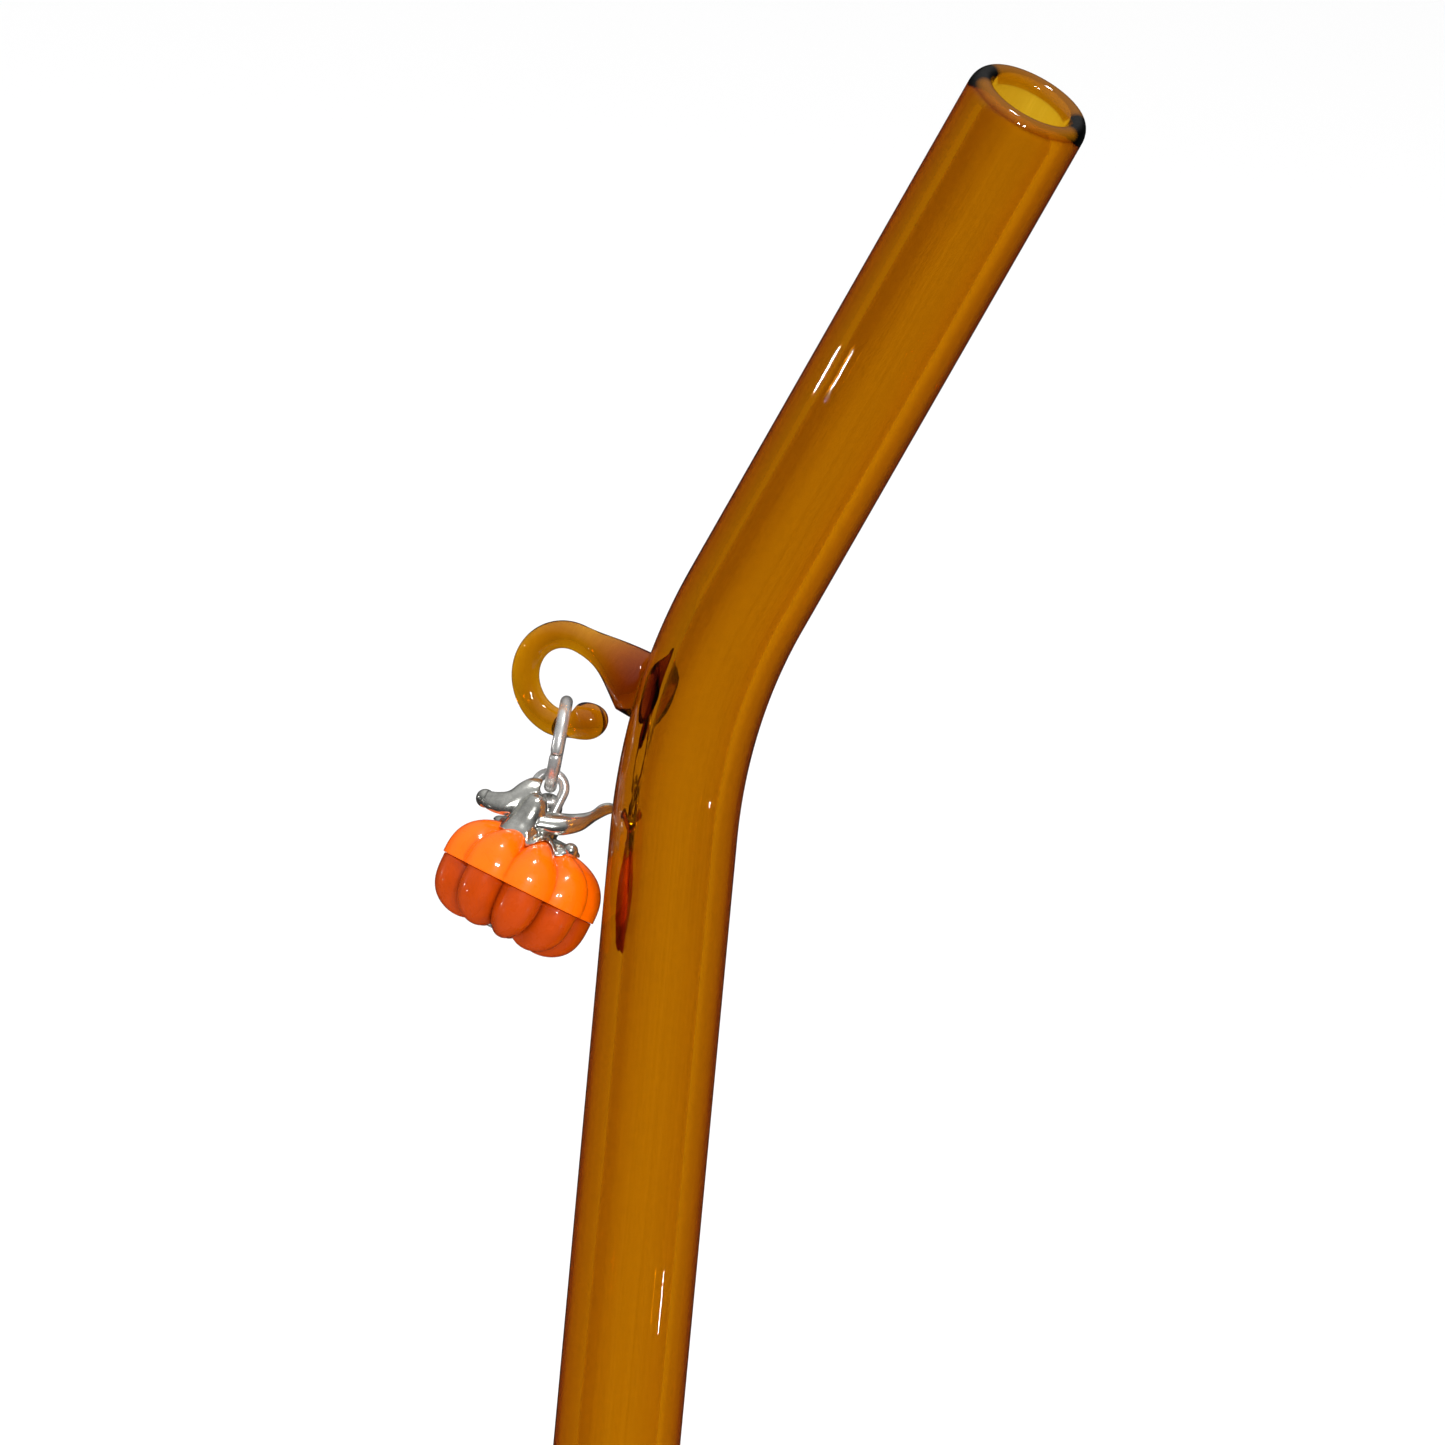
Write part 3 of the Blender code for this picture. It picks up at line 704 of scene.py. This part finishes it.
def half_skin(grooves, radius, half_height, power, hollow, steps):
    """Rings of (direction, distance from the axis, height) from the seam to the hole for the pin."""
    count = RIBS * 24
    angles = [FIRST_GROOVE + 2 * pi * i / count for i in range(count)]
    hole = EYE_WIRE_R + PIN_GAP
    rings = []
    for k in range(steps + 1):
        tilt = SKIN_END * (k / steps) ** SKIN_SPREAD
        ring = []
        for angle in angles:
            share = groove_share(angle)
            rho = max((radius - grooves[0] * share) * cos(tilt) ** (2 / power), hole)
            fall = grooves[1] * share * groove_fade(rho)
            height = (half_height - fall) * sin(tilt) ** (2 / power) - dimple(rho, hollow)
            ring.append((angle, rho, max(height, 0)))
        rings.append(ring)
    pole = half_height - dimple(hole, hollow)
    rings.append([(angle, hole, pole) for angle in angles])
    return rings


def make_half(name, finish, grooves, step_in, power, hollow, facing, cad_node):
    radius = PUMPKIN_R - step_in
    outer = half_skin(grooves, radius, PUMPKIN_HALF_H, power, hollow, 40)
    inner = half_skin(grooves, radius - SHELL_WALL, PUMPKIN_HALF_H - SHELL_WALL, power, hollow, 12)
    edge = [(angle, rho - SEAM_LIP, 0.0) for angle, rho, _ in outer[0]]
    outer[0] = [(angle, rho, SEAM_LIP * 0.9) for angle, rho, _ in outer[0]]
    rings = []
    for ring in [edge] + outer + list(reversed(inner)):
        rings.append([
            Vector((rho * cos(angle), rho * sin(angle), facing * (rise + SEAM_HALF)))
            for angle, rho, rise in ring
        ])
    bm = bmesh.new()
    loft(bm, rings, join_ends=True)
    half = write_object(name, bm, pumpkin_matrix())
    half.data.set_sharp_from_angle(angle=radians(40))
    finish_charm(half, finish, "orange_enamel", cad_node)


# ------------------------------------------------------- eye pin and leaf cap


def make_eye_pin(finish):
    """One wire: the head under the pumpkin, the shank through it and the loop on top."""
    up = Vector((0, 0, 1))
    top = -PUMPKIN_HALF_H + dimple(HEAD_R, LOWER_DIMPLE) + HEAD_TOP
    stations = [(Vector((0, 0, top + z)), up, radius) for z, radius in PIN_HEAD]
    eye_height = CHARM_DROP + RING_WIRE_R + EYE_PLAY - (EYE_R - EYE_WIRE_R)
    steps = 72
    for i in range(steps + 1):
        angle = EYE_TURN * i / steps
        centre = Vector((-EYE_R + EYE_R * cos(angle), 0, eye_height + EYE_R * sin(angle)))
        radius = drawn_in(EYE_WIRE_R, steps - i, (0.6, 0.9))
        stations.append((centre, Vector((-sin(angle), 0, cos(angle))), radius))
    bm = bmesh.new()
    sweep(bm, stations, Vector((0, 1, 0)), 28)
    finish_charm(write_object("eye_wire", bm, pumpkin_matrix()), finish, "silver", "eye_pin")


def add_ball(bm, centre, radius):
    made = bmesh.ops.create_uvsphere(bm, u_segments=32, v_segments=20, radius=radius)
    bmesh.ops.translate(bm, verts=made["verts"], vec=centre)


def add_skirt(bm):
    """The wavy calyx that follows the pumpkin's top, thin at its lobed edge."""
    lower, upper = [], []
    for share in SKIRT_SHARES:
        low, high = [], []
        for i in range(SKIRT_SIDES):
            angle = 2 * pi * i / SKIRT_SIDES
            lobe = cos(RIBS * (angle - FIRST_LOBE))
            left = max(cos(angle - SKIRT_LEFT), 0) ** 2
            rho = share * (SKIRT_R - SKIRT_SHORT * left + SKIRT_LOBE * lobe * (1 - SKIRT_CALM * left))
            across, back = rho * cos(angle) - SKIRT_SHIFT, rho * sin(angle)
            base = height_on_top(hypot(across, back), atan2(back, across)) + SKIRT_LIFT
            thick = SKIRT_THICK[0] + SKIRT_THICK[1] * (1 - share) ** 1.2
            if share > 0.97:
                thick *= 0.75 if share < 1 else 0.4
            low.append(Vector((across, back, base)))
            high.append(Vector((across, back, base + thick)))
        lower.append(low)
        upper.append(high)
    loft(bm, lower + list(reversed(upper)), caps=True)


def add_leaf(bm, upper, lower, depth):
    """A fat leaf between an upper and a lower curve, with the given half thickness at its start and end."""
    upper, lower = [Vector(row) for row in upper], [Vector(row) for row in lower]
    steps, sides = 40, 28
    rings = []
    for i in range(steps + 1):
        t = i / steps
        top, bottom = along(upper, t), along(lower, t)
        half = (top - bottom) / 2
        out = Vector((0, mixed(*depth, t), 0))
        turns = [2 * pi * j / sides for j in range(sides)]
        rings.append([(top + bottom) / 2 + cos(a) * half + sin(a) * out for a in turns])
    loft(bm, rings, caps=True)


def add_stem(bm):
    """The cut stalk, a smooth tapering dome on a spreading root."""
    rings = []
    for height, radius in STEM_PROFILE:
        centre = Vector((STEM_PLACE[0] - STEM_SLOPE * (STEM_TOP - height), STEM_PLACE[1], height))
        rings.append(circle(centre, Vector((1, 0, 0)), Vector((0, 1, 0)), radius, 40))
    loft(bm, rings, caps=True)


def cap_parts():
    builders = [(add_skirt,), (add_stem,), (add_leaf, *LEFT_LEAF), (add_leaf, *RIGHT_LEAF)]
    builders += [(add_ball, *knob) for knob in KNOBS]
    parts = []
    for add, *sizes in builders:
        bm = bmesh.new()
        add(bm, *sizes)
        parts.append(bm)
    return parts


def make_cap(finish):
    """The cast leaf cap: its parts melted into one skin."""
    whole = bmesh.new()
    for bm in cap_parts():
        bmesh.ops.recalc_face_normals(bm, faces=bm.faces)
        temporary = bpy.data.meshes.new("part")
        bm.to_mesh(temporary)
        bm.free()
        whole.from_mesh(temporary)
        bpy.data.meshes.remove(temporary)
    mesh = bpy.data.meshes.new("cap")
    whole.to_mesh(mesh)
    whole.free()
    cap = new_object("cast_leaf_cap", mesh)
    melt = cap.modifiers.new("melt", "REMESH")
    melt.mode = "VOXEL"
    melt.voxel_size = MELT_STEP
    ease = cap.modifiers.new("ease", "SMOOTH")
    ease.factor = 0.5
    ease.iterations = 5
    bake_modifiers(cap)
    cap.data.transform(pumpkin_matrix() @ Matrix.Scale(MM, 4))
    finish_charm(cap, finish, "silver", "leaf_cap")


# ------------------------------------------------------ camera, floor, light


def view_axes():
    """The camera's right, up and back in the world."""
    right = Vector((cos(VIEW_TURN), sin(VIEW_TURN), 0))
    back = Vector((sin(VIEW_TURN) * cos(VIEW_RISE), -cos(VIEW_TURN) * cos(VIEW_RISE), sin(VIEW_RISE)))
    up = back.cross(right)
    tilted = right * cos(VIEW_ROLL) + up * sin(VIEW_ROLL)
    return tilted, up * cos(VIEW_ROLL) - right * sin(VIEW_ROLL), back


def add_camera():
    right, up, back = view_axes()
    aim = Vector((0, 0, LOWER_LEG)) + AIM[0] * right + AIM[1] * up
    place = (aim + VIEW_DISTANCE * back) * MM
    data = bpy.data.cameras.new("camera")
    data.sensor_width = SENSOR
    data.lens = SENSOR * VIEW_DISTANCE / VIEW_WIDTH
    data.clip_start = 0.01
    camera = new_object("camera", data)
    camera.matrix_world = Matrix.Translation(place) @ Matrix((right, up, back)).transposed().to_4x4()
    bpy.context.scene.camera = camera


def add_floor():
    bm = bmesh.new()
    bmesh.ops.create_grid(bm, x_segments=1, y_segments=1, size=FLOOR_HALF)
    floor = write_object("floor", bm)
    floor.location.z = -FLOOR_DROP
    made, _, shader = new_material("floor")
    shader.inputs["Base Color"].default_value = (0.9, 0.9, 0.9, 1)
    shader.inputs["Roughness"].default_value = 0.9
    shader.inputs["Specular IOR Level"].default_value = 0.1
    floor.data.materials.append(made)
    floor.visible_glossy = False


def add_light(name, toward, distance, size, power):
    """An area light in the given direction from the hook, as the camera sees it, facing the hook."""
    right, up, back = view_axes()
    way = (toward[0] * right + toward[1] * up + toward[2] * back).normalized()
    data = bpy.data.lights.new(name, "AREA")
    data.energy = power
    data.size = size
    light = new_object(name, data)
    light.location = Vector((0, 0, LOWER_LEG * MM)) + way * distance
    light.rotation_euler = way.to_track_quat("Z", "Y").to_euler()


def add_world():
    """Pale surroundings, which shiny surfaces reflect as a dimmer room."""
    world = bpy.data.worlds.new("surroundings")
    bpy.context.scene.world = world
    world.use_nodes = True
    tree = world.node_tree
    link = tree.links.new
    pale = tree.nodes["Background"]
    pale.inputs["Color"].default_value = (1, 1, 1, 1)
    pale.inputs["Strength"].default_value = 1.0
    room = tree.nodes.new("ShaderNodeBackground")
    split = tree.nodes.new("ShaderNodeSeparateXYZ")
    link(tree.nodes.new("ShaderNodeTexCoord").outputs["Generated"], split.inputs["Vector"])
    link(ramp(tree, split.outputs["Z"], ROOM), room.inputs["Color"])
    mix = tree.nodes.new("ShaderNodeMixShader")
    rays = tree.nodes.new("ShaderNodeLightPath")
    mirrored = tree.nodes.new("ShaderNodeMath")
    mirrored.operation = "SUBTRACT"
    mirrored.use_clamp = True
    link(rays.outputs["Is Glossy Ray"], mirrored.inputs[0])
    link(rays.outputs["Is Transmission Ray"], mirrored.inputs[1])
    link(mirrored.outputs["Value"], mix.inputs["Fac"])
    link(pale.outputs["Background"], mix.inputs[1])
    link(room.outputs["Background"], mix.inputs[2])
    link(mix.outputs["Shader"], tree.nodes["World Output"].inputs["Surface"])


def main():
    bpy.context.scene.view_settings.view_transform = "Standard"
    make_glass()
    silver = silver_material("silver", *WIRE_SILVER)
    make_ring(silver)
    make_eye_pin(silver)
    make_cap(silver_material("cast_silver", *CAST_SILVER))
    make_half(
        "upper_enamel", enamel_material("orange_enamel", *UPPER_ENAMEL),
        UPPER_GROOVES, 0.0, UPPER_POWER, UPPER_DIMPLE, 1, "pumpkin_upper_shell",
    )
    # the lower half gets a darker copy of the enamel as painted shade
    make_half(
        "lower_enamel", enamel_material("orange_enamel_painted_shade", *LOWER_ENAMEL_SHADED),
        LOWER_GROOVES, SEAM_STEP, LOWER_POWER, LOWER_DIMPLE, -1, "pumpkin_lower_shell",
    )
    add_camera()
    add_floor()
    add_world()
    for light in LIGHTS:
        add_light(*light)


main()
